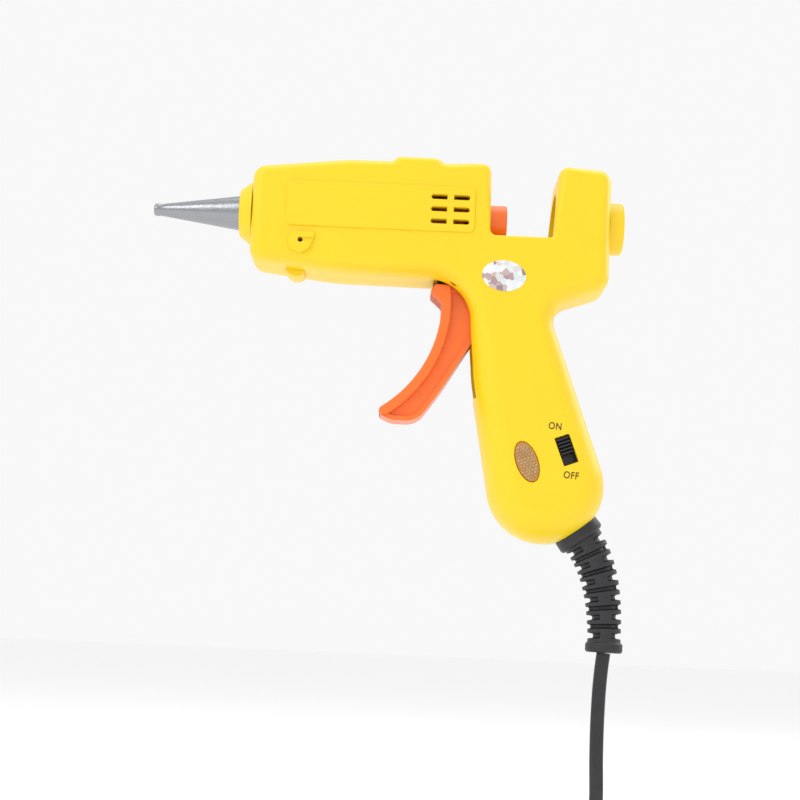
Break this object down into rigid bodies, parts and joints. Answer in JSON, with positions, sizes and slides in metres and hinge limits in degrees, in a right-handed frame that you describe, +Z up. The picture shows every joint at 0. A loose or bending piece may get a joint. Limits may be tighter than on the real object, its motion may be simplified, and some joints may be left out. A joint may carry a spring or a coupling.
{
  "type": "hot-melt glue gun",
  "caption": "Small mains hot-melt glue gun with a bare metal nozzle, loading notch, trigger feed, slide switch, lamp and a coiled lead with a plug.",
  "frame": {"origin": "middle of the grip, on the parting plane of the housing", "axes": "+X from the nozzle towards the stick inlet, +Z up, the left side of the gun faces -Y"},
  "size_m": [0.1558, 0.0702, 0.2289],
  "materials": {
    "shell": "satin moulded",
    "trigger": "satin moulded",
    "nozzle": "worn die-cast",
    "barrel": "as cast",
    "steel": "bright zinc plate",
    "spring": "drawn wire",
    "ceramic": "fired ceramic",
    "film": "polyimide film",
    "silicone": "silicone rubber",
    "lens": "moulded translucent",
    "lamp": "neon lamp",
    "resistor": "lacquered",
    "black_plastic": "moulded",
    "boot": "soft moulded",
    "brass": "stamped",
    "sticker": "printed foil",
    "wire_brown": "extruded",
    "wire_blue": "extruded",
    "lead": "extruded",
    "blades": "nickel plate"
  },
  "bodies": {
    "housing": {"left_shell": "shell", "right_shell": "shell", "nozzle": "nozzle", "nozzle_collar": "shell", "heater_barrel": "barrel", "ptc_heater": "ceramic", "heater_film": "film", "inlet_sleeve": "silicone", "sleeve_clamp": "steel", "trigger_pin": "steel", "rear_ring": "shell", "indicator_lens": "lens", "indicator_lamp": "lamp", "lamp_resistor": "resistor", "switch_body": "black_plastic", "switch_contacts": "brass", "cord_clamp": "black_plastic", "clamp_screws": "steel", "housing_screws": "steel", "inspection_sticker": "sticker", "wire_live": "wire_brown", "wire_switched": "wire_brown", "wire_neutral": "wire_blue", "strain_relief": "boot", "cord": "lead", "cord_coil": "lead", "cord_tail": "lead", "cord_tie": "black_plastic", "plug_body": "black_plastic", "plug_pins": "blades"},
    "trigger": {"trigger": "trigger"},
    "carriage": {"carriage": "trigger", "gripper_pin": "steel", "return_spring": "spring"},
    "gripper": {"gripper_pawl": "steel"},
    "switch_knob": {"switch_knob": "black_plastic"}
  },
  "joints": [
    {"name": "trigger_pull", "type": "hinge", "parent": "housing", "child": "trigger", "pos_m": [-0.024, 0, 0.045], "axis": [0, -1, 0], "range_deg": [0, 16], "stiffness_Nm_per_rad": 0.7, "springref_deg": -5.73},
    {"name": "carriage_feed", "type": "slide", "parent": "housing", "child": "carriage", "axis": [-1, 0, 0], "range_m": [0, 0.0053], "deforming": ["return_spring"]},
    {"name": "gripper_rock", "type": "hinge", "parent": "carriage", "child": "gripper", "pos_m": [-0.033, 0, 0.0556], "axis": [0, -1, 0], "range_deg": [0, 8], "stiffness_Nm_per_rad": 0.01},
    {"name": "switch_slide", "type": "slide", "parent": "housing", "child": "switch_knob", "axis": [-0.3584, 0, 0.9336], "range_m": [-0.0033, 0]}
  ],
  "couplings": [
    {"joint": "carriage_feed", "follows": "trigger_pull", "m_per_rad": 0.01862}
  ]
}
